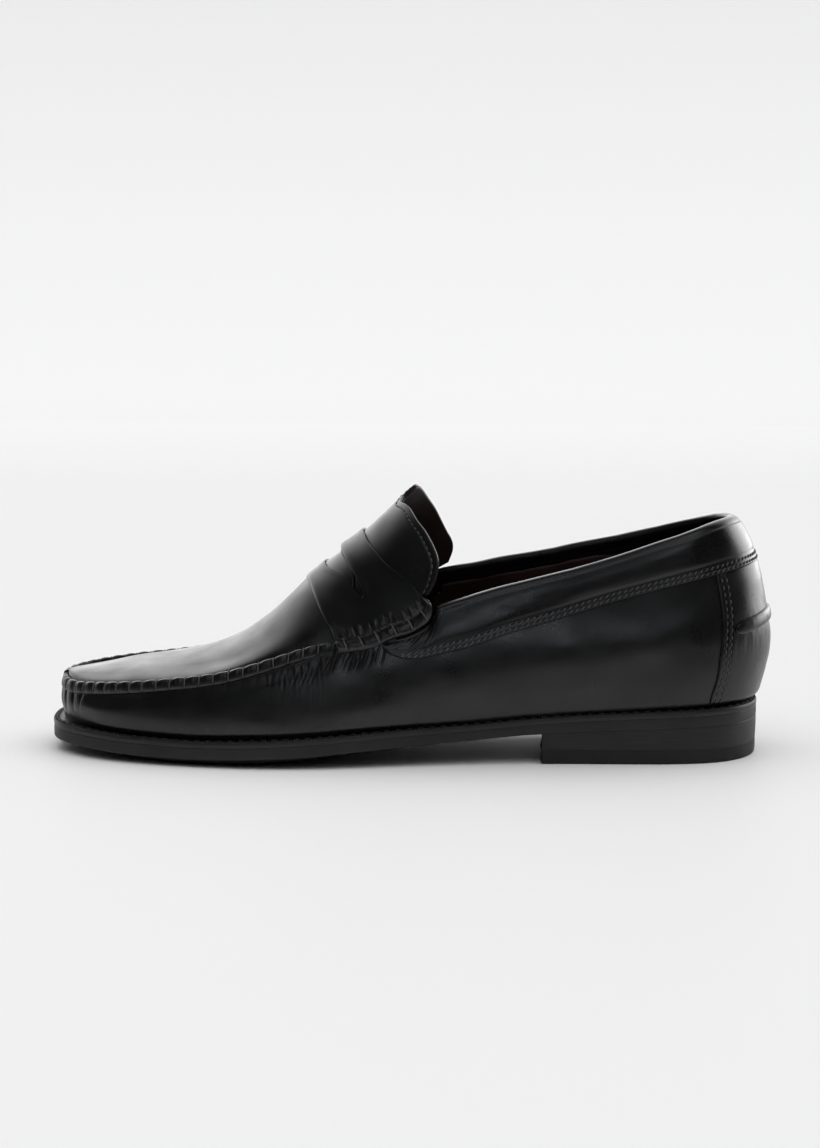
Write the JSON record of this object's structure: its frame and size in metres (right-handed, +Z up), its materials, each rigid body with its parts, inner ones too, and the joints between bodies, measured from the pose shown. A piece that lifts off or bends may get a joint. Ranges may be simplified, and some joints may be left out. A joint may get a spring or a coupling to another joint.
{
  "type": "penny loafer",
  "caption": "Left men's slip-on shoe with a raised moccasin apron, a slotted saddle strap over the instep, a flexing tongue, a welted sole and a low stacked heel.",
  "frame": {"origin": "on the ground plane, under the middle of the overall length and width", "axes": "+X towards the heel, -X towards the toe, -Y towards the outer (lateral) side, +Z up from the ground the shoe stands on"},
  "size_m": [0.2994, 0.1036, 0.1104],
  "materials": {
    "upper_leather": "polished box calf, fine grain",
    "lining_leather": "dark burgundy brown, dull",
    "sole_edge": "matte charcoal edge dressing",
    "welt": "black, wheeled edge",
    "heel_rubber": "matte",
    "cork": "granulated cork",
    "board": "undyed insole leather",
    "stiffener": "stiffened, undyed",
    "foam": "soft foam",
    "shank_steel": "tempered strip",
    "nail_steel": "plain",
    "thread": "waxed thread"
  },
  "bodies": {
    "shoe": {"outsole": "sole_edge", "welt": "welt", "cork_filler": "cork", "shank": "shank_steel", "insole_board": "board", "sock_liner": "lining_leather", "heel_stack": "sole_edge", "heel_top_piece": "heel_rubber", "heel_nails": "nail_steel", "vamp": "upper_leather", "apron": "upper_leather", "vamp_lining": "lining_leather", "apron_lining": "lining_leather", "toe_puff": "stiffener", "quarter_lining": "lining_leather", "heel_counter": "stiffener", "collar_padding": "foam", "collar": "upper_leather", "backstay": "upper_leather", "heel_tab": "upper_leather", "strap": "upper_leather", "moccasin_stitching": "thread", "welt_stitching": "thread", "strap_stitching": "thread", "collar_stitching": "thread", "backstay_stitching": "thread"},
    "tongue_flap": {"tongue": "upper_leather", "tongue_lining": "lining_leather", "tongue_stitching": "thread"}
  },
  "joints": [
    {"name": "tongue_flex", "type": "hinge", "parent": "shoe", "child": "tongue_flap", "pos_m": [-0.02, 0.00255, 0.09], "axis": [0, -1, 0], "range_deg": [0, 15]}
  ]
}
